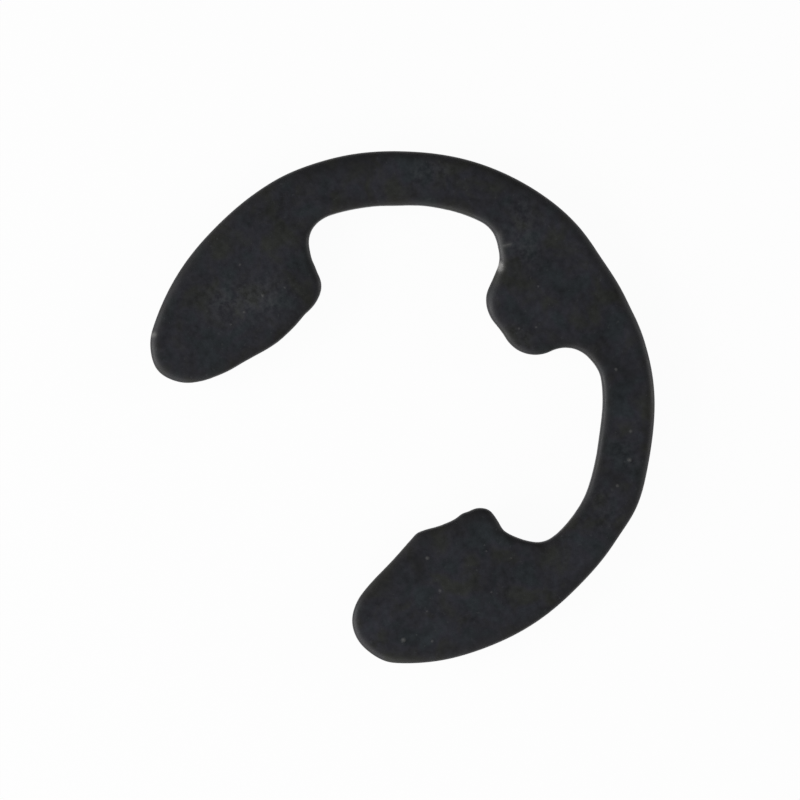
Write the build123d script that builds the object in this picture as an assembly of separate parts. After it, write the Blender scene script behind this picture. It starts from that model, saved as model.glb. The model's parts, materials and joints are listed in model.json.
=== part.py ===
"""Retaining clip of the E type (e clip) for a 12 mm shaft groove, blanked from spring steel strip.

The origin is on the shaft's axis, in the face that lies against the wall of the groove. +Z is
the shaft's axis and points to the face with the rolled edges, +Y points to the back of the
clip, and the mouth opens towards -Y. The clip is free, not sprung onto its shaft.
"""

from build123d import *
import math
import os

# Strip and blank, in mm. Angles are in degrees.
thickness = 1.3
outside_diameter = 22.8
seat_diameter = 11.4            # the circle of the three faces that bear on the groove's floor
recess_corner_radius = 1.58
tip_radius = 1.85
back_flat_depth = 0.23          # where the blank met the edge of its strip
back_flat_turn = 6.2            # towards the right prong
back_flat_blend = 5.0           # radius that eases the flat into the bow

# Centre prong
centre_prong_width = 4.01
centre_prong_width_height = 1.0     # above the seat circle's top, where the width is measured
centre_corner_radius = 1.53
right_flank_taper = 10.4        # lean of the flank, wider at the root
left_flank_taper = 31.8

# End prongs
shoulder_height = 0.48          # above the shaft's axis, where the shoulder meets the seat circle
shoulder_slope = 7.4            # rising outwards

# Right end prong
right_beam_width = 2.25         # the bow between the outside and the recess
right_shoulder_radius = 0.69
right_seat_wrap = 27.6          # how far round the shaft the seat reaches below its axis
right_mouth_radius = 0.55
right_mouth_flare = 12.3        # lean of the mouth's flank, wider outwards

# Left end prong, rounder at both ends of its seat
left_beam_width = 2.4
left_shoulder_radius = 1.6
left_seat_wrap = 20.9
left_mouth_radius = 7.0
left_mouth_flare = 7.7

# Long edges of the blank
rolled_edge_radius = 0.42       # top face, drawn down as the punch entered
tumbled_edge_radius = 0.1       # bottom face

outer_radius = outside_diameter / 2
seat_radius = seat_diameter / 2
corner_share = 0.48             # of a prong's reach that one rounded corner may take
same_place = 0.001


def mouth_flank(side, seat_wrap, mouth_flare):
    """One flank of the mouth: its corner at the end of the seat, and a point out past the blank."""
    corner_x = seat_radius * math.cos(math.radians(seat_wrap))
    corner_y = -seat_radius * math.sin(math.radians(seat_wrap))
    far_x = corner_x + (corner_y + outside_diameter) * math.tan(math.radians(mouth_flare))
    return (side * corner_x, corner_y), (side * far_x, -outside_diameter)


def mouth_shape():
    """The flared mouth, from the ends of the seat out past the blank."""
    right_corner, right_far = mouth_flank(1, right_seat_wrap, right_mouth_flare)
    left_corner, left_far = mouth_flank(-1, left_seat_wrap, left_mouth_flare)
    return make_face(Polyline(right_corner, right_far, left_far, left_corner, close=True))


def recess_shape(recess_radius, flank_taper):
    """The recess on the right, between the centre prong's flank and the end prong's shoulder."""
    taper = math.tan(math.radians(flank_taper))
    slope = math.tan(math.radians(shoulder_slope))
    width_y = seat_radius + centre_prong_width_height
    flank_x = centre_prong_width / 2 - width_y * taper          # the flank's line at y = 0
    shoulder_y = shoulder_height - seat_radius * slope          # the shoulder's line at x = 0
    meet_y = (shoulder_y + flank_x * slope) / (1 - taper * slope)
    meet = (flank_x + meet_y * taper, meet_y)
    root = (flank_x + outer_radius * taper, outer_radius)
    end = (outer_radius, shoulder_y + outer_radius * slope)
    wedge = make_face(Polyline(meet, root, (outer_radius, outer_radius), end, close=True))
    return wedge & Circle(recess_radius)


def beyond_back_flat():
    """What the flat takes off the bow, opposite the mouth."""
    beyond = Pos(0, outer_radius - back_flat_depth + outer_radius) * Rectangle(outside_diameter, outside_diameter)
    return Rot(0, 0, -back_flat_turn) * beyond


def corners_on(solid, circle_radius, side):
    """Places of the upright corners on one circle and one side, from the mouth to the back."""
    places = [edge.center() for edge in solid.edges().filter_by(Axis.Z)]
    on_circle = [p for p in places if abs(math.hypot(p.X, p.Y) - circle_radius) < same_place]
    return sorted([p for p in on_circle if p.X * side > 0], key=lambda p: p.Y)


def rounded(solid, corner, radius):
    """The solid with the upright corner at one place rounded."""
    return fillet(solid.edges().filter_by(Axis.Z).sort_by_distance(corner)[0], radius)


right_recess_radius = outer_radius - right_beam_width
left_recess_radius = outer_radius - left_beam_width
outline = Circle(outer_radius) - beyond_back_flat() - Circle(seat_radius) - mouth_shape()
outline -= recess_shape(right_recess_radius, right_flank_taper)
outline -= mirror(recess_shape(left_recess_radius, left_flank_taper), about=Plane.YZ)
blank = extrude(outline, thickness)

clip = blank
for side, recess_radius, shoulder_radius, mouth_radius in (
    (1, right_recess_radius, right_shoulder_radius, right_mouth_radius),
    (-1, left_recess_radius, left_shoulder_radius, left_mouth_radius),
):
    mouth, shoulder, prong_face = corners_on(blank, seat_radius, side)
    recess_end, recess_root = corners_on(blank, recess_radius, side)
    tip, flat_end = corners_on(blank, outer_radius, side)
    largest_corner = corner_share * (recess_radius - seat_radius)
    clip = rounded(clip, prong_face, min(centre_corner_radius, largest_corner))
    clip = rounded(clip, recess_root, min(recess_corner_radius, largest_corner))
    clip = rounded(clip, recess_end, min(recess_corner_radius, largest_corner))
    clip = rounded(clip, shoulder, min(shoulder_radius, largest_corner))
    clip = rounded(clip, mouth, mouth_radius)
    clip = rounded(clip, tip, tip_radius)
    clip = rounded(clip, flat_end, back_flat_blend)

clip = fillet(clip.faces().sort_by(Axis.Z)[-1].edges(), rolled_edge_radius)
clip = fillet(clip.faces().sort_by(Axis.Z)[0].edges(), tumbled_edge_radius)
clip.label = "e_clip"

os.makedirs("parts", exist_ok=True)
export_step(clip, "parts/e_clip.step")
print(f"e_clip: {clip.volume:.1f} mm3, size {clip.bounding_box().size}")
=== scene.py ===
import json
import math
import random

import bmesh
import bpy
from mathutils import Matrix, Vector, noise
from mathutils.geometry import delaunay_2d_cdt
from mathutils.kdtree import KDTree

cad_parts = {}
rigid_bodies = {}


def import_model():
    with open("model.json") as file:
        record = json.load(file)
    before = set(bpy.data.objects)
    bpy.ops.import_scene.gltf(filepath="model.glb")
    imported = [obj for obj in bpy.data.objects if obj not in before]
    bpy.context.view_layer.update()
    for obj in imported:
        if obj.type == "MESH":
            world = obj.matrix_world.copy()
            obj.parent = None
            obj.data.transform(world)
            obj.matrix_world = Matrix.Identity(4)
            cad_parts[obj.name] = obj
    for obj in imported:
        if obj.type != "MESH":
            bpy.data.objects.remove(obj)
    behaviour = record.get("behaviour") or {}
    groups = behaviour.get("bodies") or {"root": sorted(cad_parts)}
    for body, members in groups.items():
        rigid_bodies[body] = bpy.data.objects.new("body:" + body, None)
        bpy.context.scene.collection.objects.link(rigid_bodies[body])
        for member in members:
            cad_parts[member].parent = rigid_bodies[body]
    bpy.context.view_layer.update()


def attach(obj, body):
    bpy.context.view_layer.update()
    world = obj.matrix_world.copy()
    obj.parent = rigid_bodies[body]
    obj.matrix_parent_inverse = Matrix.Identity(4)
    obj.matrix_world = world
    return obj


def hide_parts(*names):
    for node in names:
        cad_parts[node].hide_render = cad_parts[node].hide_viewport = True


for leftover in list(bpy.data.objects):
    bpy.data.objects.remove(leftover)

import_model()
mm = 0.001

# The blank, in mm and degrees, about the shaft's axis. The sizes are those of the CAD part.

blank = {
    "thickness": 1.3,
    "outside": 11.4,            # radius, as are the seat and the corners
    "seat": 5.7,
    "recessCorner": 1.58,
    "tip": 1.85,
    "backFlatDepth": 0.23,      # a slight flat at the back, turned a little to one side
    "backFlatTurn": 6.2,
    "backFlatBlend": 5.0,
    "prongWidth": 4.01,         # of the centre prong, at this height over the seat
    "prongWidthHeight": 1.0,
    "prongCorner": 1.53,
    "shoulderHeight": 0.48,
    "shoulderSlope": 7.4,
    "pointSpacing": 0.085,      # along the outline of the mesh
    "leastSpacing": 0.001,      # points closer together than this are one
}
rightSide = {
    "sign": 1,
    "taper": 10.4,              # lean of the centre prong's flank
    "beam": 2.25,               # width of the bow
    "shoulder": 0.69,           # radius where the seat ends at the shoulder
    "wrap": 27.6,               # how far the seat reaches past the half circle
    "mouth": 0.55,              # radius where the seat turns out into the mouth
    "flare": 12.3,              # lean of the mouth's side
}
leftSide = {
    "sign": -1,
    "taper": 31.8,
    "beam": 2.4,
    "shoulder": 1.6,
    "wrap": 20.9,
    "mouth": 7.0,
    "flare": 7.7,
}


def leaning(degrees):  # a direction that leans this far from +Y towards +X
    return Vector((math.sin(math.radians(degrees)), math.cos(math.radians(degrees))))


def cornerArc(line, ring, radius, lineSide, ringSide):
    # The arc that rounds the corner where a line going outwards meets a ring about the axis.
    # lineSide is +1 with the arc's centre left of the line, ringSide +1 with it outside the ring.
    point, direction = line
    left = Vector((-direction.y, direction.x))
    shifted = point + left * lineSide * radius
    foot = shifted - direction * shifted.dot(direction)
    reach = ring + ringSide * radius
    centre = foot + direction * math.sqrt(reach ** 2 - foot.length_squared)
    onLine = centre - left * lineSide * radius
    return {"centre": centre, "onLine": onLine, "onRing": centre.normalized() * ring}


def cornerOnArc(corner, ring, radius, ringSide, other, otherRadius):
    # Where two rounded corners leave no straight between them, this one runs into the other.
    reach, apart = ring + ringSide * radius, radius + otherRadius
    away = other["centre"].length
    toOther = other["centre"] / away
    along = (reach ** 2 - apart ** 2 + away ** 2) / (2 * away)
    aside = Vector((-toOther.y, toOther.x)) * math.sqrt(reach ** 2 - along ** 2)
    centres = [toOther * along + aside, toOther * along - aside]
    centre = min(centres, key=lambda c: (c - corner["centre"]).length)
    corner["centre"], corner["onRing"] = centre, centre.normalized() * ring
    corner["onLine"] = other["onLine"] = other["centre"].lerp(centre, otherRadius / apart)


def arcPoints(centre, start, end):
    first, last = start - centre, end - centre
    turn = math.atan2(first.cross(last), first.dot(last))
    count = max(2, math.ceil(abs(turn) * first.length / blank["pointSpacing"]))
    points = []
    for step in range(count):
        angle = turn * step / count
        c, s = math.cos(angle), math.sin(angle)
        points.append(centre + Vector((first.x * c - first.y * s, first.x * s + first.y * c)))
    return points


def linePoints(start, end):
    count = max(1, math.ceil((end - start).length / blank["pointSpacing"]))
    return [start.lerp(end, step / count) for step in range(count)]


def halfOutline(side):
    # From the middle of the back, clockwise round the outside, in at the mouth, to the centre prong.
    axis = Vector((0, 0))
    outside, seat = blank["outside"], blank["seat"]
    recess = outside - side["beam"]
    backTurn = blank["backFlatTurn"] * side["sign"]
    back = (leaning(backTurn) * (outside - blank["backFlatDepth"]), leaning(90 + backTurn))
    mouth = (leaning(90 + side["wrap"]) * seat, leaning(180 - side["flare"]))
    shoulder = (Vector((seat, blank["shoulderHeight"])), leaning(90 - blank["shoulderSlope"]))
    flank = (Vector((blank["prongWidth"] / 2, seat + blank["prongWidthHeight"])), leaning(side["taper"]))

    flatEnd = cornerArc(back, outside, blank["backFlatBlend"], -1, -1)
    tip = cornerArc(mouth, outside, blank["tip"], 1, -1)
    mouthCorner = cornerArc(mouth, seat, side["mouth"], 1, 1)
    seatEnd = cornerArc(shoulder, seat, side["shoulder"], -1, 1)
    recessEnd = cornerArc(shoulder, recess, blank["recessCorner"], 1, -1)
    recessRoot = cornerArc(flank, recess, blank["recessCorner"], -1, -1)
    prongCorner = cornerArc(flank, seat, blank["prongCorner"], 1, 1)
    if (recessRoot["onLine"] - prongCorner["onLine"]).dot(flank[1]) < 0:
        cornerOnArc(recessRoot, recess, blank["recessCorner"], -1, prongCorner, blank["prongCorner"])
    if (recessEnd["onLine"] - seatEnd["onLine"]).dot(shoulder[1]) < 0:
        cornerOnArc(seatEnd, seat, side["shoulder"], 1, recessEnd, blank["recessCorner"])

    points = linePoints(back[0], flatEnd["onLine"])
    points += arcPoints(flatEnd["centre"], flatEnd["onLine"], flatEnd["onRing"])
    points += arcPoints(axis, flatEnd["onRing"], tip["onRing"])
    points += arcPoints(tip["centre"], tip["onRing"], tip["onLine"])
    points += linePoints(tip["onLine"], mouthCorner["onLine"])
    points += arcPoints(mouthCorner["centre"], mouthCorner["onLine"], mouthCorner["onRing"])
    points += arcPoints(axis, mouthCorner["onRing"], seatEnd["onRing"])
    points += arcPoints(seatEnd["centre"], seatEnd["onRing"], seatEnd["onLine"])
    points += linePoints(seatEnd["onLine"], recessEnd["onLine"])
    points += arcPoints(recessEnd["centre"], recessEnd["onLine"], recessEnd["onRing"])
    points += arcPoints(axis, recessEnd["onRing"], recessRoot["onRing"])
    points += arcPoints(recessRoot["centre"], recessRoot["onRing"], recessRoot["onLine"])
    points += linePoints(recessRoot["onLine"], prongCorner["onLine"])
    points += arcPoints(prongCorner["centre"], prongCorner["onLine"], prongCorner["onRing"])
    points += arcPoints(axis, prongCorner["onRing"], Vector((0, seat)))
    return points + [Vector((0, seat))]


def outwardNormals(points):
    normals = []
    for before, after in zip(points[-1:] + points[:-1], points[1:] + points[:1]):
        along = (after - before).normalized()
        normals.append(Vector((-along.y, along.x)))
    return normals


def nearness(p, place, reach):  # 1 at a place, fading out round it
    return math.exp(-((p - Vector(place)).length / reach) ** 2)


# Where a worn punch left the edge a little off its arcs: place, offset outwards and reach, in mm.

swells = (
    (9.7, 5.9, 0.13, 1.6), (11.2, 1.8, -0.07, 2.0), (8.2, -7.5, -0.1, 0.9), (5.5, -1.3, 0.08, 1.4),
    (7.2, 0.6, -0.12, 0.4), (8.2, 1.1, 0.07, 0.6), (8.1, 4.3, -0.1, 1.1), (-3.0, 8.0, 0.08, 0.6),
    (-8.9, 7.1, -0.06, 2.2), (-8.5, 1.7, -0.07, 0.7), (-7.1, 0.6, 0.08, 0.9), (-5.6, -0.8, -0.1, 0.8),
    (-6.0, -6.4, -0.09, 0.8), (-7.6, -7.5, 0.11, 0.7), (-11.3, -1.7, -0.06, 2.0), (5.0, -2.8, -0.02, 0.35),
    (5.6, -0.5, 0.08, 0.3), (5.6, -5.6, 0.07, 1.0), (-7.2, 5.2, 0.09, 1.0), (6.3, 6.6, 0.08, 1.2),
    (3.5, 8.2, 0.07, 0.7), (8.7, 2.4, 0.07, 0.6), (3.5, 10.7, -0.06, 1.5), (-1.0, 11.3, -0.07, 1.2),
    (1.6, 11.0, 0.06, 1.2), (-6.9, 0.7, -0.05, 0.3), (10.3, -5.1, 0.04, 1.5), (10.5, 4.7, -0.04, 0.9),
    (6.3, 9.5, 0.03, 1.5), (-5.1, 7.4, -0.03, 0.9), (-8.1, 4.0, 0.03, 0.8), (-11.2, 2.0, 0.03, 1.2),
    (6.4, -7.2, 0.03, 0.6), (-1.6, 6.2, 0.04, 0.7), (-7.9, 0.9, 0.035, 0.4), (5.2, -2.2, 0.04, 0.4),
    (-5.8, -5.1, 0.03, 0.6), (-5.5, -1.9, -0.03, 0.5), (-6.3, 0.3, 0.03, 0.35), (6.2, 0.6, 0.04, 0.4),
)


def swellAt(p):
    return sum(rise * nearness(p, (x, y), reach) for x, y, rise, reach in swells)


def wholeOutline():
    right = halfOutline(rightSide)
    left = [Vector((-p.x, p.y)) for p in reversed(halfOutline(leftSide))]
    points = right + left[1:-1]
    least = blank["leastSpacing"]
    points = [p for before, p in zip(points[-1:] + points[:-1], points) if (p - before).length > least]
    return [p + n * swellAt(p) for p, n in zip(points, outwardNormals(points))]


# The cut edge, in mm, from the rolled side down to the burr side.

cutEdge = {
    "rollWidth": 0.62,          # how far in the face starts to draw down
    "rollDepth": 0.2,
    "rollPower": 3.6,           # most of the fall is close to the edge
    "rollRows": 8,
    "rollCrowding": 1.3,        # rows closer together towards the edge
    "noseRadius": 0.1,          # where the roll turns down into the wall
    "noseRows": 6,
    "innerRoll": 0.8,           # share of the roll along the seat, the recesses and the mouth
    "innerReach": (8.8, 10.8),  # from the axis, over which it grows to the whole
    "wornPlace": (-1.8, 6.3),   # a flank of the centre prong that wore rounder
    "wornRoll": 0.75,           # share that the wear adds there
    "wornReach": 1.0,
    "rollWander": 0.1,
    "wanderRate": 0.9,          # per mm, like the other rates
    "shearRows": 5,
    "breakHeight": 0.5,         # below this the steel tore and did not shear
    "breakTaper": 0.03,
    "breakRows": 6,
    "breakWander": 0.07,
    "breakRate": 1.7,
    "dragDepth": 0.004,
    "dragRate": 4.0,
    "fineDragDepth": 0.6,       # of the finer drag lines, against the coarse ones
    "fineDragRate": 2.3,
    "tearDepth": 0.0042,
    "tearRate": 5.0,
    "tearSquash": 1.6,          # the tears are this much shorter up the wall than along it
    "tearRoughness": 0.6,
    "tearStep": 2.0,            # from each octave to the next
    "tearOctaves": 3,
    "tumbled": 0.09,
    "tumbledRows": 4,
    "tumbledShadeAndWear": 0.3,         # how much of the edge band, its painted shade and its wear, the tumbled corner shows
}
lastRollRow = cutEdge["rollRows"] + cutEdge["noseRows"]


def rollShare(p):  # the roll is deepest round the outside of the blank
    near, far = cutEdge["innerReach"]
    away = min(1, max(0, (p.length - near) / (far - near)))
    outer = away * away * (3 - 2 * away)
    worn = cutEdge["wornRoll"] * nearness(p, cutEdge["wornPlace"], cutEdge["wornReach"])
    share = cutEdge["innerRoll"] + (1 - cutEdge["innerRoll"]) * outer + worn
    return share * (1 + cutEdge["rollWander"] * noise.noise(Vector((p.x, p.y, 0)) * cutEdge["wanderRate"]))


def sectionRows(share):
    # (inset, height, zone) of each row from the top face down to the bottom face
    t, nose, tumbled = blank["thickness"], cutEdge["noseRadius"], cutEdge["tumbled"]
    width = nose + (cutEdge["rollWidth"] - nose) * share
    depth = cutEdge["rollDepth"] * share
    rows = []
    for row in range(cutEdge["rollRows"]):
        inset = nose + (width - nose) * (1 - row / cutEdge["rollRows"]) ** cutEdge["rollCrowding"]
        rows.append((inset, t - depth * (1 - inset / width) ** cutEdge["rollPower"], "roll"))
    for row in range(cutEdge["noseRows"] + 1):
        a = math.pi / 2 * row / cutEdge["noseRows"]
        inset = nose * (1 - math.sin(a))
        fall = depth * (1 - inset / width) ** cutEdge["rollPower"] + nose * (1 - math.cos(a))
        rows.append((inset, t - fall, "roll"))
    shearTop, breakTop = rows[lastRollRow][1], cutEdge["breakHeight"]
    for row in range(1, cutEdge["shearRows"] + 1):
        rows.append((0, shearTop + (breakTop - shearTop) * row / cutEdge["shearRows"], "sheared"))
    for row in range(1, cutEdge["breakRows"] + 1):
        down = row / cutEdge["breakRows"]
        rows.append((cutEdge["breakTaper"] * down, breakTop + (tumbled - breakTop) * down, "torn"))
    for row in range(1, cutEdge["tumbledRows"] + 1):
        a = math.pi / 2 * row / cutEdge["tumbledRows"]
        inset = cutEdge["breakTaper"] + tumbled * (1 - math.cos(a))
        rows.append((inset, tumbled * (1 - math.sin(a)), "tumbled"))
    return rows


# What the flat faces carry, in mm.

faces = {
    "spacing": 0.15,            # of the mesh's points
    "bottomSpacing": 0.24,
    "edgeClearance": 0.6,       # how many spacings they keep off the edge
    "joinWithin": 1e-6,         # points closer together than this are joined
    "wave": 0.006,              # slow unevenness left by the strip and the hardening
    "waveLength": 2.6,
    "waveLevel": 0.5,           # taken off the noise, so that the waves lie below the face
    "ripple": 0.0022,
    "rippleLength": 0.62,
    "rippleShift": (0, 0, 7),   # another part of the noise than the waves
    "pits": 26,
    "pitDepth": 0.012,
    "pitRadius": (0.12, 0.3),
    "pitSeed": 12,
    "crystalHeight": 0.02,      # coarse crystals that stand on the coat
    "crystalRim": (6, 1),       # points, and distance from its middle in radii
    "crystalFoot": (8, 2),
    "crystalShoulder": 0.55,    # share of the height that its rim keeps
    "crystalWander": 0.35,      # unevenness of its rim and foot
    "crystalClearance": 2.6,    # the even points keep off by so many radii and this margin
    "crystalMargin": 0.04,
    "fullCrystal": 0.07,        # a crystal of this radius shows at full strength
    "crystals": (               # place and radius
        (4.4, 8.8, 0.05), (7.0, 7.7, 0.05), (8.0, 6.9, 0.065), (8.6, 5.8, 0.05),
        (6.2, -2.9, 0.06), (8.5, -5.9, 0.07), (7.7, -3.3, 0.05), (8.4, 0.1, 0.035),
        (9.3, -4.9, 0.045), (-9.2, -1.9, 0.04), (0.8, 7.05, 0.04), (-0.6, 8.2, 0.035),
        (0.4, 6.4, 0.045), (-7.5, -1.9, 0.045), (-7.4, -3.0, 0.04), (-7.2, -0.9, 0.035),
        (-7.3, -3.8, 0.035), (8.1, -4.3, 0.037), (7.5, -0.6, 0.033), (9.1, -1.5, 0.033),
    ),
}

# Marks of handling on the top face: start and end in mm, how far each one spreads, how strong it is.

marks = {
    "handled": [
        ((-8.3, -3.5), (-7.2, -1.7), 0.75, 1.0),
        ((-3.7, 9.6), (-2.2, 8.7), 0.6, 0.75),
        ((-7.7, 7.0), (-7.4, 7.7), 0.5, 0.7),
        ((8.1, 7.0), (7.3, 6.8), 0.5, 0.4),
        ((0.3, 6.2), (1.0, 6.4), 0.4, 0.5),
        ((9.6, 4.5), (8.5, 5.0), 0.5, 0.4),
    ],
    "rubbed": [
        ((-3.5, 8.2), (-2.4, 7.6), 0.13, 0.15),
        ((-2.35, 7.4), (-2.25, 7.3), 0.14, 1.0),
        ((-8.95, -6.8), (-9.0, -6.9), 0.1, 0.45),
        ((-2.95, 8.0), (-2.85, 8.3), 0.07, 0.3),
    ],
    "stained": [
        ((3.6, 8.6), (5.1, 9.2), 0.25, 0.8),
        ((8.0, 5.7), (8.3, 6.0), 0.3, 0.8),
        ((6.1, -3.2), (6.6, -3.6), 0.3, 0.9),
        ((5.9, -4.4), (6.0, -5.2), 0.5, 0.45),
        ((5.5, -0.5), (6.0, 0.2), 0.5, 0.6),
        ((5.4, -2.5), (5.7, -2.4), 0.4, 0.4),
        ((-7.0, 0.1), (-7.0, 0.4), 0.4, 0.4),
        ((-10.6, 3.0), (-9.6, 5.2), 0.5, 0.7),
        ((-10.3, -4.2), (-10.5, -3.1), 0.5, 0.35),
        ((-5.4, 9.7), (-4.8, 10.1), 0.4, 0.45),
        ((-6.0, -1.5), (-6.1, -1.8), 0.4, 0.4),
        ((10.1, -4.4), (10.8, -2.0), 0.6, 0.35),
        ((-7.1, -7.1), (-7.3, -7.0), 0.6, 0.35),
    ],
}


def markStrength(name, x, y):
    strength = 0
    for start, end, reach, most in marks[name]:
        along = Vector(end) - Vector(start)
        place = Vector((x, y)) - Vector(start)
        share = min(1, max(0, place.dot(along) / along.length_squared))
        strength = max(strength, most * nearness(place, along * share, reach))
    return strength


def buildRim():
    outline = wholeOutline()
    tree = KDTree(len(outline))
    for index, p in enumerate(outline):
        tree.insert((p.x, p.y, 0), index)
    tree.balance()
    sections = [sectionRows(rollShare(p)) for p in outline]
    return {
        "points": outline,
        "normals": outwardNormals(outline),
        "tree": tree,
        "sections": sections,
        "topReach": [section[0][0] for section in sections],
        "bottomReach": [section[-1][0] for section in sections],
    }


def insideBy(rim, reach, x, y):  # how far a place is inside the flat part of a face, negative outside it
    _, index, away = rim["tree"].find((x, y, 0))
    inward = (rim["points"][index] - Vector((x, y))).dot(rim["normals"][index])
    return away - reach[index] if inward > 0 else -away


def scatterPits(rim):
    random.seed(faces["pitSeed"])
    pits = []
    while len(pits) < faces["pits"]:
        x = random.uniform(-blank["outside"], blank["outside"])
        y = random.uniform(-blank["outside"], blank["outside"])
        radius = random.uniform(*faces["pitRadius"])
        if insideBy(rim, rim["topReach"], x, y) > 0:
            pits.append((x, y, radius))
    return pits


def faceHeight(x, y, pits):  # of the top face, over its plain level
    place = Vector((x, y, 0))
    height = faces["wave"] * (noise.noise(place / faces["waveLength"]) - faces["waveLevel"])
    height += faces["ripple"] * noise.noise(place / faces["rippleLength"] + Vector(faces["rippleShift"]))
    for px, py, radius in pits:
        away = math.hypot(x - px, y - py) / radius
        if away < 1:
            height -= faces["pitDepth"] * (1 - away * away) ** 2
    return height


def dragAt(place):
    fine = noise.noise(place * cutEdge["dragRate"] * cutEdge["fineDragRate"])
    return noise.noise(place * cutEdge["dragRate"]) + cutEdge["fineDragDepth"] * fine


def tearAt(x, y, height):
    place = Vector((x, y, height * cutEdge["tearSquash"])) * cutEdge["tearRate"]
    return noise.fractal(place, cutEdge["tearRoughness"], cutEdge["tearStep"], cutEdge["tearOctaves"])


def edgePlace(p, n, section, row):  # one point of the cut edge, with its unevenness
    inset, height, zone = section[row]
    place = Vector((p.x, p.y, 0))
    shearTop, breakTop, tumbled = section[lastRollRow][1], cutEdge["breakHeight"], cutEdge["tumbled"]
    wander = cutEdge["breakWander"] * noise.noise(place * cutEdge["breakRate"])
    x, y = p - n * inset
    if zone == "sheared":
        x, y = p - n * cutEdge["dragDepth"] * (1 + dragAt(place))
        height += wander * (shearTop - height) / (shearTop - breakTop)
    if zone == "torn":
        height += wander * (height - tumbled) / (breakTop - tumbled)
        x, y = p - n * (inset + cutEdge["tearDepth"] * (1 + tearAt(x, y, height)))
    return x, y, height


# The clip's mesh, gathered point by point

shell = {"points": [], "polygons": [], "materials": []}
masks = {"edgeBand": [], "torn": [], "crystal": [], "handled": [], "rubbed": [], "stained": []}


def addPoint(x, y, z, edgeBand=0.0, torn=0.0, crystal=0.0):  # marks show on the upper half only
    shell["points"].append((x * mm, y * mm, z * mm))
    masks["edgeBand"].append(edgeBand)
    masks["torn"].append(torn)
    masks["crystal"].append(crystal)
    for name in marks:
        masks[name].append(markStrength(name, x, y) if z > blank["thickness"] / 2 else 0)
    return len(shell["points"]) - 1


def sweepEdge(rim, pits):
    t, count = blank["thickness"], len(rim["points"])
    zones = [zone for inset, height, zone in rim["sections"][0]]
    for row, zone in enumerate(zones):
        for p, n, section in zip(rim["points"], rim["normals"], rim["sections"]):
            x, y, z = edgePlace(p, n, section, row)
            inset = section[row][0]
            if zone == "roll":
                shearTop = section[lastRollRow][1]
                z += faceHeight(x, y, pits) * (z - shearTop) / (t - shearTop)
            # 1 at the nose, fading in over the roll: the band of painted shade along the rolled edge, and
            #                                         of its wear
            edgeBand = 1 - min(1, inset / cutEdge["rollWidth"])
            if zone == "tumbled":
                edgeBand = cutEdge["tumbledShadeAndWear"]
            addPoint(x, y, z, edgeBand, torn=1.0 if zone == "torn" else 0.0)
    for row, zone in enumerate(zones[1:]):
        for index in range(count):
            a, b = row * count + index, row * count + (index + 1) % count
            shell["polygons"].append((a, b, b + count, a + count))
            shell["materials"].append(1 if zone in ("sheared", "torn") else 0)
    print("cut edge:", len(zones), "rows of", count, "points")


def evenPoints(rim, reach, spacing):  # on a triangular grid, clear of the edge
    xs, ys = [p.x for p in rim["points"]], [p.y for p in rim["points"]]
    rowHeight = spacing * math.sqrt(3) / 2
    points = []
    for row in range(math.ceil((max(ys) - min(ys)) / rowHeight)):
        y = min(ys) + row * rowHeight
        for column in range(math.ceil((max(xs) - min(xs)) / spacing)):
            x = min(xs) + (column + 0.5 * (row % 2)) * spacing
            if insideBy(rim, reach, x, y) > spacing * faces["edgeClearance"]:
                points.append((x, y, 0))
    return points


def clearOfCrystals(x, y):
    for crystalX, crystalY, radius in faces["crystals"]:
        clearance = radius * faces["crystalClearance"] + faces["crystalMargin"]
        if math.hypot(x - crystalX, y - crystalY) <= clearance:
            return False
    return True


def crystalPoints(x, y, radius):  # (x, y, share of full height): its top, its rim and its foot
    strength = radius / faces["fullCrystal"]
    points = [(x, y, strength)]
    rings = ((faces["crystalRim"], faces["crystalShoulder"] * strength), (faces["crystalFoot"], 0))
    for (count, reach), height in rings:
        for step in range(count):
            a = 2 * math.pi * (step + 0.5 * (reach - 1)) / count
            uneven = noise.noise(Vector((x + math.cos(a), y + math.sin(a), reach)))
            wide = radius * reach * (1 + faces["crystalWander"] * uneven)
            points.append((x + wide * math.cos(a), y + wide * math.sin(a), height))
    return points


def fillFace(rim, firstPoint, inner, height):
    # Joins one row of the edge to the points inside it, with triangles inside that row only
    count, insideOnly = len(rim["points"]), 1
    edge = [Vector(shell["points"][firstPoint + index][:2]) / mm for index in range(count)]
    flat = edge + [Vector((x, y)) for x, y, crystal in inner]
    places, _, triangles, sources, _, _ = delaunay_2d_cdt(
        flat, [], [list(range(count))], insideOnly, faces["joinWithin"])
    indices = []
    for place, source in zip(places, sources):
        if source and source[0] < count:
            indices.append(firstPoint + source[0])
        else:
            crystal = inner[source[0] - count][2] if source else 0
            indices.append(addPoint(place.x, place.y, height(place.x, place.y, crystal), crystal=crystal))
    for triangle in triangles:
        shell["polygons"].append(tuple(indices[corner] for corner in triangle))
        shell["materials"].append(0)
    return len(triangles)


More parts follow.
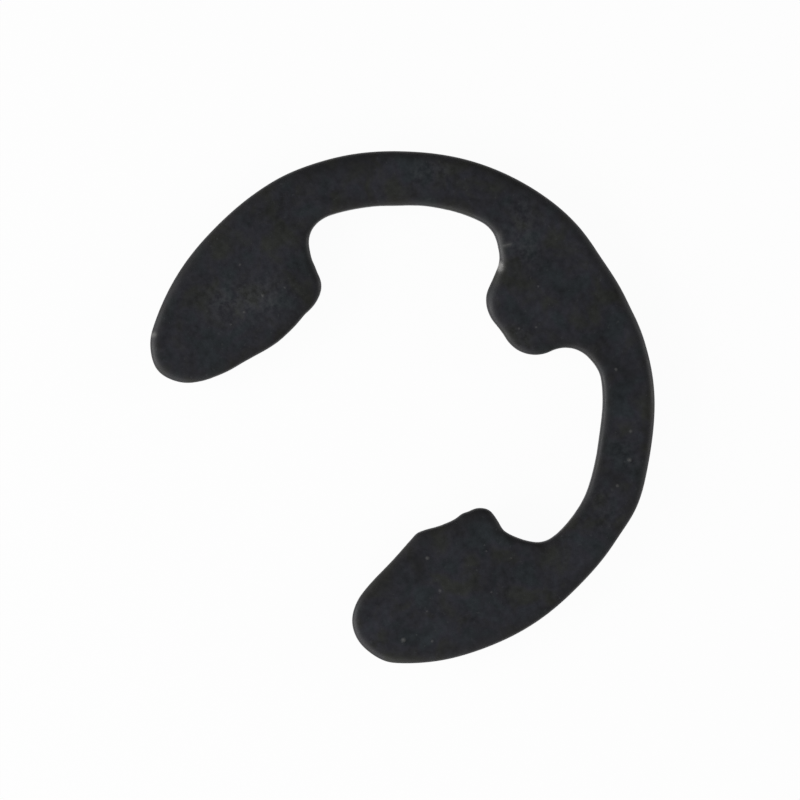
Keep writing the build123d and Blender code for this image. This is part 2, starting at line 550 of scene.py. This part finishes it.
def buildClip():
    rim = buildRim()
    pits = scatterPits(rim)
    sweepEdge(rim, pits)

    def topHeight(x, y, crystal):
        return blank["thickness"] + faceHeight(x, y, pits) + crystal * faces["crystalHeight"]

    def bottomHeight(x, y, crystal):
        return 0

    inner = evenPoints(rim, rim["topReach"], faces["spacing"])
    inner = [p for p in inner if clearOfCrystals(p[0], p[1])]
    for crystal in faces["crystals"]:
        inner += crystalPoints(*crystal)
    triangles = fillFace(rim, 0, inner, topHeight)
    print("top face:", triangles, "triangles,", len(faces["crystals"]), "crystals")
    lastRow = (len(rim["sections"][0]) - 1) * len(rim["points"])
    inner = evenPoints(rim, rim["bottomReach"], faces["bottomSpacing"])
    triangles = fillFace(rim, lastRow, inner, bottomHeight)
    print("bottom face:", triangles, "triangles")

    mesh = bpy.data.meshes.new("e_clip_steel")
    mesh.from_pydata(shell["points"], [], shell["polygons"])
    for name, values in masks.items():
        mesh.attributes.new(name, "FLOAT", "POINT").data.foreach_set("value", values)
    mesh.polygons.foreach_set("material_index", shell["materials"])
    mesh.polygons.foreach_set("use_smooth", [True] * len(mesh.polygons))
    work = bmesh.new()
    work.from_mesh(mesh)
    bmesh.ops.recalc_face_normals(work, faces=work.faces)
    openEdges = sum(1 for edge in work.edges if not edge.is_manifold)
    work.to_mesh(mesh)
    work.free()
    clip = bpy.data.objects.new("e_clip_steel", mesh)
    bpy.context.scene.collection.objects.link(clip)
    print("clip:", len(mesh.vertices), "vertices,", len(mesh.polygons), "faces,", openEdges, "open edges")
    return clip


clip = buildClip()
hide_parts("e_clip")
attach(clip, "root")


# Node helpers

def newMaterial(name):
    material = bpy.data.materials.new(name)
    material.use_nodes = True
    tree = material.node_tree
    return material, tree, tree.nodes["Principled BSDF"]


def setInput(tree, socket, value):  # with a number or colour, or a link from another node
    if isinstance(value, bpy.types.NodeSocket):
        tree.links.new(value, socket)
    else:
        socket.default_value = value


def addNode(tree, kind, inputs=None, **settings):
    node = tree.nodes.new(kind)
    for key, value in settings.items():
        setattr(node, key, value)
    for key, value in (inputs or {}).items():
        setInput(tree, node.inputs[key], value)
    return node


def newGroup(name, inputs, outputs):
    group = bpy.data.node_groups.new(name, "ShaderNodeTree")
    for label, kind, value in inputs:
        socket = group.interface.new_socket(name=label, in_out="INPUT", socket_type=kind)
        socket.default_value = value
    for label, kind in outputs:
        group.interface.new_socket(name=label, in_out="OUTPUT", socket_type=kind)
    return group, group.nodes.new("NodeGroupInput"), group.nodes.new("NodeGroupOutput")


def groupNode(tree, group, inputs):
    node = tree.nodes.new("ShaderNodeGroup")
    node.node_tree = group
    for label, value in inputs.items():
        node.inputs[label].default_value = value
    return node


def maskNode(tree, name):
    return addNode(tree, "ShaderNodeAttribute", attribute_name=name).outputs["Fac"]


def spread(tree, value, low, high, toLow=0.0, toHigh=1.0):  # stretches a band of a value over another
    return addNode(tree, "ShaderNodeMapRange", {
        "Value": value, "From Min": low, "From Max": high, "To Min": toLow, "To Max": toHigh},
        clamp=True).outputs["Result"]


def times(tree, value, *factors):
    for factor in factors:
        value = addNode(tree, "ShaderNodeMath", {0: value, 1: factor}, operation="MULTIPLY").outputs[0]
    return value


def addScaled(tree, a, b, weight):  # a + b * weight
    return addNode(tree, "ShaderNodeMath", {0: b, 1: weight, 2: a}, operation="MULTIPLY_ADD").outputs[0]


def mixColour(tree, factor, a, b, blend="MIX"):
    node = addNode(tree, "ShaderNodeMix", {"Factor": factor}, data_type="RGBA", blend_type=blend)
    setInput(tree, node.inputs[6], a)   # the mix node's colour sockets, which share their names with others
    setInput(tree, node.inputs[7], b)
    return node.outputs[2]


# The black phosphate coat, and what the flat faces and the cut wall make of it. Scales are per metre.

coat = {
    "color": (0.0180, 0.0192, 0.0231, 1),
    "worn": (0.052, 0.055, 0.058, 1),
    "bare": (0.42, 0.415, 0.4, 1),
    "oily": (0.0075, 0.0078, 0.0088, 1),
    # painted shade: a darker, brownish colour laid over the rolled edge, strongest at its nose
    "paintedEdgeShade": (0.012, 0.0094, 0.0045, 1),
    "teal": (0.84, 1.07, 1.07, 1),
    "violet": (1.03, 0.95, 1.1, 1),
    "olive": (1.06, 1.06, 0.72, 1),
    "tintPlaces": (0.36, 0.5, 0.66),    # of teal, violet and olive, on the noise
    "specular": 0.32,
    "patchScale": 620.0,
    "cloudScale": 3000.0,
    "cloudShare": 0.9,                  # of the clouds against the larger patches
    "hueScale": 820.0,
    "fleckScale": 4600.0,
    "noiseBand": (0.3, 0.7),            # the part of a noise that it mostly stays within
    "crystalBand": (0.56, 0.74),        # the part of the fine noise that shows as lighter crystals
    "fleckBand": (0.62, 0.78),
    "bumpDistance": 0.00002,
}
faceFinish = {
    "tone": 0.6,
    "tint": 0.8,
    "grain": 11000.0,
    "coarseShare": 0.35,
    "roughness": (0.46, 0.6),
    "bump": 0.12,
    # how strongly the painted shade darkens the rolled edge
    "paintedEdgeShading": 0.4,
    "edgeRub": 0.15,
    "edgeRubBand": (0.55, 1.0),         # of the way out over the rolled edge
    "flecks": 0.75,
    "handling": 0.6,
    "handledBand": (0.4, 0.66),         # handling shows on these clouds only
    "stain": 0.8,
    "crystal": 0.2,
    "rubbedGrain": 0.5,                 # how bare the metal is between the crystals
}
wallFinish = {
    "tone": 0.5,
    "tint": 0.6,
    "grain": 9000.0,
    "coarseShare": 0.5,
    "roughness": (0.4, 0.56),
    "tornRoughness": 0.16,              # added on the torn band
    "bump": 0.25,
    "dragStretch": (9000.0, 9000.0, 350.0),
    "dragBand": (0.55, 0.75),
    "dragLines": 0.4,
    "dragHeight": 1.4,
    "tearScale": 5200.0,
    "tearBand": (0.55, 0.35),
    "tearOil": 0.45,
    "tearHeight": 3.0,
}


def phosphateGroup():
    # Fine crystals of the coat: a height for bump, a mask of the lighter crystals and one of pale flecks
    group, given, out = newGroup("phosphateGrain", [
        ("Scale", "NodeSocketFloat", faceFinish["grain"]),
        ("Coarse Share", "NodeSocketFloat", faceFinish["coarseShare"])],
        [("Height", "NodeSocketFloat"), ("Crystals", "NodeSocketFloat"), ("Flecks", "NodeSocketFloat")])
    place = addNode(group, "ShaderNodeTexCoord").outputs["Object"]
    fine = addNode(group, "ShaderNodeTexNoise", {
        "Vector": place, "Scale": given.outputs["Scale"], "Detail": 5.0, "Roughness": 0.62})
    cells = addNode(group, "ShaderNodeTexVoronoi", {
        "Vector": place, "Scale": given.outputs["Scale"], "Randomness": 1.0}, feature="F1")
    flecks = addNode(group, "ShaderNodeTexNoise", {
        "Vector": place, "Scale": coat["fleckScale"], "Detail": 3.0, "Roughness": 0.7})
    height = addScaled(group, fine.outputs[0], cells.outputs["Distance"], given.outputs["Coarse Share"])
    group.links.new(height, out.inputs["Height"])
    group.links.new(spread(group, fine.outputs[0], *coat["crystalBand"]), out.inputs["Crystals"])
    group.links.new(spread(group, flecks.outputs[0], *coat["fleckBand"]), out.inputs["Flecks"])
    return group


def mottleGroup():
    # Soft patches of tone and of faint teal, violet and olive, as the oil dried on the coat
    group, given, out = newGroup("oilMottle", [
        ("Color", "NodeSocketColor", coat["color"]),
        ("Tone", "NodeSocketFloat", faceFinish["tone"]),
        ("Tint", "NodeSocketFloat", faceFinish["tint"])],
        [("Color", "NodeSocketColor"), ("Mask", "NodeSocketFloat")])
    place = addNode(group, "ShaderNodeTexCoord").outputs["Object"]
    patches = addNode(group, "ShaderNodeTexNoise", {
        "Vector": place, "Scale": coat["patchScale"], "Detail": 3.0, "Roughness": 0.55})
    clouds = addNode(group, "ShaderNodeTexNoise", {
        "Vector": place, "Scale": coat["cloudScale"], "Detail": 4.0, "Roughness": 0.68})
    hues = addNode(group, "ShaderNodeTexNoise", {
        "Vector": place, "Scale": coat["hueScale"], "Detail": 3.0, "Roughness": 0.5, "Distortion": 0.4})
    patchTone = spread(group, patches.outputs[0], *coat["noiseBand"], -0.5, 0.5)
    cloudTone = spread(group, clouds.outputs[0], *coat["noiseBand"], -0.5, 0.5)
    tone = addScaled(group, patchTone, cloudTone, coat["cloudShare"])
    gain = addScaled(group, 1.0, tone, given.outputs["Tone"])
    ramp = addNode(group, "ShaderNodeValToRGB", {"Fac": hues.outputs[0]})
    stops = ramp.color_ramp.elements
    tealPlace, violetPlace, olivePlace = coat["tintPlaces"]
    stops[0].position, stops[0].color = tealPlace, coat["teal"]
    stops[1].position, stops[1].color = olivePlace, coat["olive"]
    stops.new(violetPlace).color = coat["violet"]
    hue = ramp.outputs["Color"]
    tinted = mixColour(group, given.outputs["Tint"], given.outputs["Color"], hue, "MULTIPLY")
    scaled = addNode(group, "ShaderNodeVectorMath", {0: tinted, "Scale": gain}, operation="SCALE")
    group.links.new(scaled.outputs[0], out.inputs["Color"])
    group.links.new(clouds.outputs[0], out.inputs["Mask"])
    return group


phosphateGrain = phosphateGroup()
oilMottle = mottleGroup()


def coatNodes(tree, finish):  # the two shared groups, with this finish's own values
    mottle = groupNode(tree, oilMottle, {
        "Color": coat["color"], "Tone": finish["tone"], "Tint": finish["tint"]})
    grain = groupNode(tree, phosphateGrain, {
        "Scale": finish["grain"], "Coarse Share": finish["coarseShare"]})
    return mottle, grain


def finishSurface(tree, shader, color, roughness, height, bumpStrength):
    tree.links.new(color, shader.inputs["Base Color"])
    tree.links.new(roughness, shader.inputs["Roughness"])
    shader.inputs["Specular IOR Level"].default_value = coat["specular"]
    bump = addNode(tree, "ShaderNodeBump", {
        "Height": height, "Strength": bumpStrength, "Distance": coat["bumpDistance"]})
    tree.links.new(bump.outputs["Normal"], shader.inputs["Normal"])


def coatedFace():
    material, tree, shader = newMaterial("phosphate_face")
    mottle, grain = coatNodes(tree, faceFinish)
    clouds, crystals = mottle.outputs["Mask"], grain.outputs["Crystals"]

    edgeBand = maskNode(tree, "edgeBand")
    # Painted shade: the rolled edge is darkened towards its nose with a brownish colour. The lighter wear
    # on its crystals follows the same band.
    paintedEdgeShade = times(tree, edgeBand, faceFinish["paintedEdgeShading"])
    rubbedEdge = spread(tree, edgeBand, *faceFinish["edgeRubBand"])
    edgeRub = times(tree, rubbedEdge, crystals, faceFinish["edgeRub"])
    flecks = times(tree, grain.outputs["Flecks"], faceFinish["flecks"])
    patchy = spread(tree, clouds, *faceFinish["handledBand"])
    handled = times(tree, maskNode(tree, "handled"), patchy, faceFinish["handling"])
    stained = times(tree, maskNode(tree, "stained"), faceFinish["stain"])
    crystal = times(tree, maskNode(tree, "crystal"), faceFinish["crystal"])
    bareness = spread(tree, crystals, 0.0, 0.5, faceFinish["rubbedGrain"], 1.0)
    rubbed = times(tree, maskNode(tree, "rubbed"), bareness)

    # painted shade over the rolled edge first, then the wear, flecks, marks and stains
    color = mixColour(tree, paintedEdgeShade, mottle.outputs["Color"], coat["paintedEdgeShade"])
    color = mixColour(tree, edgeRub, color, coat["worn"])
    color = mixColour(tree, flecks, color, coat["worn"])
    color = mixColour(tree, handled, color, coat["worn"])
    color = mixColour(tree, stained, color, coat["oily"])
    color = mixColour(tree, crystal, color, coat["bare"])
    color = mixColour(tree, rubbed, color, coat["bare"])
    roughness = spread(tree, clouds, *coat["noiseBand"], *faceFinish["roughness"])
    finishSurface(tree, shader, color, roughness, grain.outputs["Height"], faceFinish["bump"])
    return material


def cutWall():
    material, tree, shader = newMaterial("phosphate_cut_wall")
    mottle, grain = coatNodes(tree, wallFinish)
    place = addNode(tree, "ShaderNodeTexCoord").outputs["Object"]
    drawn = addNode(tree, "ShaderNodeMapping", {"Vector": place, "Scale": wallFinish["dragStretch"]})
    drag = addNode(tree, "ShaderNodeTexNoise", {
        "Vector": drawn.outputs["Vector"], "Scale": 1.0, "Detail": 3.0, "Roughness": 0.6}).outputs[0]
    tear = addNode(tree, "ShaderNodeTexNoise", {
        "Vector": place, "Scale": wallFinish["tearScale"], "Detail": 4.0, "Roughness": 0.7}).outputs[0]
    torn = maskNode(tree, "torn")
    sheared = spread(tree, torn, 0.0, 1.0, 1.0, 0.0)

    lines = times(tree, spread(tree, drag, *wallFinish["dragBand"]), sheared, wallFinish["dragLines"])
    hollows = times(tree, spread(tree, tear, *wallFinish["tearBand"]), torn, wallFinish["tearOil"])
    color = mixColour(tree, lines, mottle.outputs["Color"], coat["worn"])
    color = mixColour(tree, hollows, color, coat["oily"])
    roughness = spread(tree, drag, *coat["noiseBand"], *wallFinish["roughness"])
    roughness = addScaled(tree, roughness, torn, wallFinish["tornRoughness"])
    height = addScaled(tree, grain.outputs["Height"], times(tree, drag, sheared), wallFinish["dragHeight"])
    height = addScaled(tree, height, times(tree, tear, torn), wallFinish["tearHeight"])
    finishSurface(tree, shader, color, roughness, height, wallFinish["bump"])
    return material


clip.data.materials.append(coatedFace())
clip.data.materials.append(cutWall())
print("materials:", [m.name for m in clip.data.materials])


# Floor, lights and camera

studio = {
    "floorReach": 1.5,          # metres
    "floorTone": 0.82,
    "floorLift": 0.96,          # share of plain white that the camera and mirror rays see
    "skyStrength": 0.16,
    "softboxes": (              # name, mm to the right, up the view and over the floor, size, watts
        ("softbox_left", -194, -20, 78, 160, 100, 0.43),
        ("softbox_front", -88, -174, 78, 160, 100, 0.22),
        ("softbox_right", 185, 25, 50, 90, 50, 0.13),
    ),
    "turn": 53.74,              # degrees from +X to the view's right-hand side
    "aim": (-0.166, 0.267, 0.9),    # mm, what the middle of the view looks at
    "viewWidth": 35.54,         # mm across the view there
    "lens": 200.0,
    "sensor": 36.0,
}
turn = math.radians(studio["turn"])
viewRight = Vector((math.cos(turn), math.sin(turn), 0))
viewUp = Vector((-math.sin(turn), math.cos(turn), 0))


def buildFloor():
    reach, tone = studio["floorReach"], studio["floorTone"]
    mesh = bpy.data.meshes.new("floor")
    mesh.from_pydata([(-reach, -reach, 0), (reach, -reach, 0), (reach, reach, 0), (-reach, reach, 0)],
                     [], [(0, 1, 2, 3)])
    floor = bpy.data.objects.new("floor", mesh)
    bpy.context.scene.collection.objects.link(floor)
    material, tree, shader = newMaterial("white_floor")
    tree.nodes.remove(shader)
    matt = addNode(tree, "ShaderNodeBsdfDiffuse", {"Color": (tone, tone, tone, 1)})
    glow = addNode(tree, "ShaderNodeEmission", {"Color": (1, 1, 1, 1), "Strength": 1.0})
    rays = addNode(tree, "ShaderNodeLightPath")
    seen = addNode(tree, "ShaderNodeMath", {
        0: rays.outputs["Is Camera Ray"], 1: rays.outputs["Is Glossy Ray"]}, operation="MAXIMUM")
    seen = addNode(tree, "ShaderNodeMath", {
        0: seen.outputs[0], 1: rays.outputs["Is Transmission Ray"]}, operation="MAXIMUM")
    lift = times(tree, seen.outputs[0], studio["floorLift"])
    both = addNode(tree, "ShaderNodeMixShader", {0: lift, 1: matt.outputs[0], 2: glow.outputs[0]})
    tree.links.new(both.outputs[0], tree.nodes["Material Output"].inputs["Surface"])
    mesh.materials.append(material)


def addSoftbox(name, right, up, height, width, depth, power):  # placed and sized in mm
    light = bpy.data.lights.new(name, "AREA")
    light.shape = "RECTANGLE"
    light.size = width * mm
    light.size_y = depth * mm
    light.energy = power
    lamp = bpy.data.objects.new(name, light)
    lamp.location = (viewRight * right + viewUp * up + Vector((0, 0, height))) * mm
    lamp.rotation_euler = (-lamp.location).to_track_quat("-Z", "Y").to_euler()
    bpy.context.scene.collection.objects.link(lamp)


def lightSky():
    world = bpy.data.worlds.new("studio")
    world.use_nodes = True
    background = world.node_tree.nodes["Background"]
    background.inputs["Color"].default_value = (1, 1, 1, 1)
    background.inputs["Strength"].default_value = studio["skyStrength"]
    bpy.context.scene.world = world


def buildCamera():
    data = bpy.data.cameras.new("camera")
    data.lens = studio["lens"]
    data.sensor_width = studio["sensor"]
    camera = bpy.data.objects.new("camera", data)
    distance = studio["lens"] * studio["viewWidth"] / studio["sensor"]
    camera.location = (Vector(studio["aim"]) + Vector((0, 0, distance))) * mm
    camera.rotation_euler = (0, 0, turn)
    bpy.context.scene.collection.objects.link(camera)
    bpy.context.scene.camera = camera


buildFloor()
for softbox in studio["softboxes"]:
    addSoftbox(*softbox)
lightSky()
buildCamera()
bpy.context.scene.view_settings.view_transform = "Standard"
print("studio: floor,", len(studio["softboxes"]), "softboxes, camera")
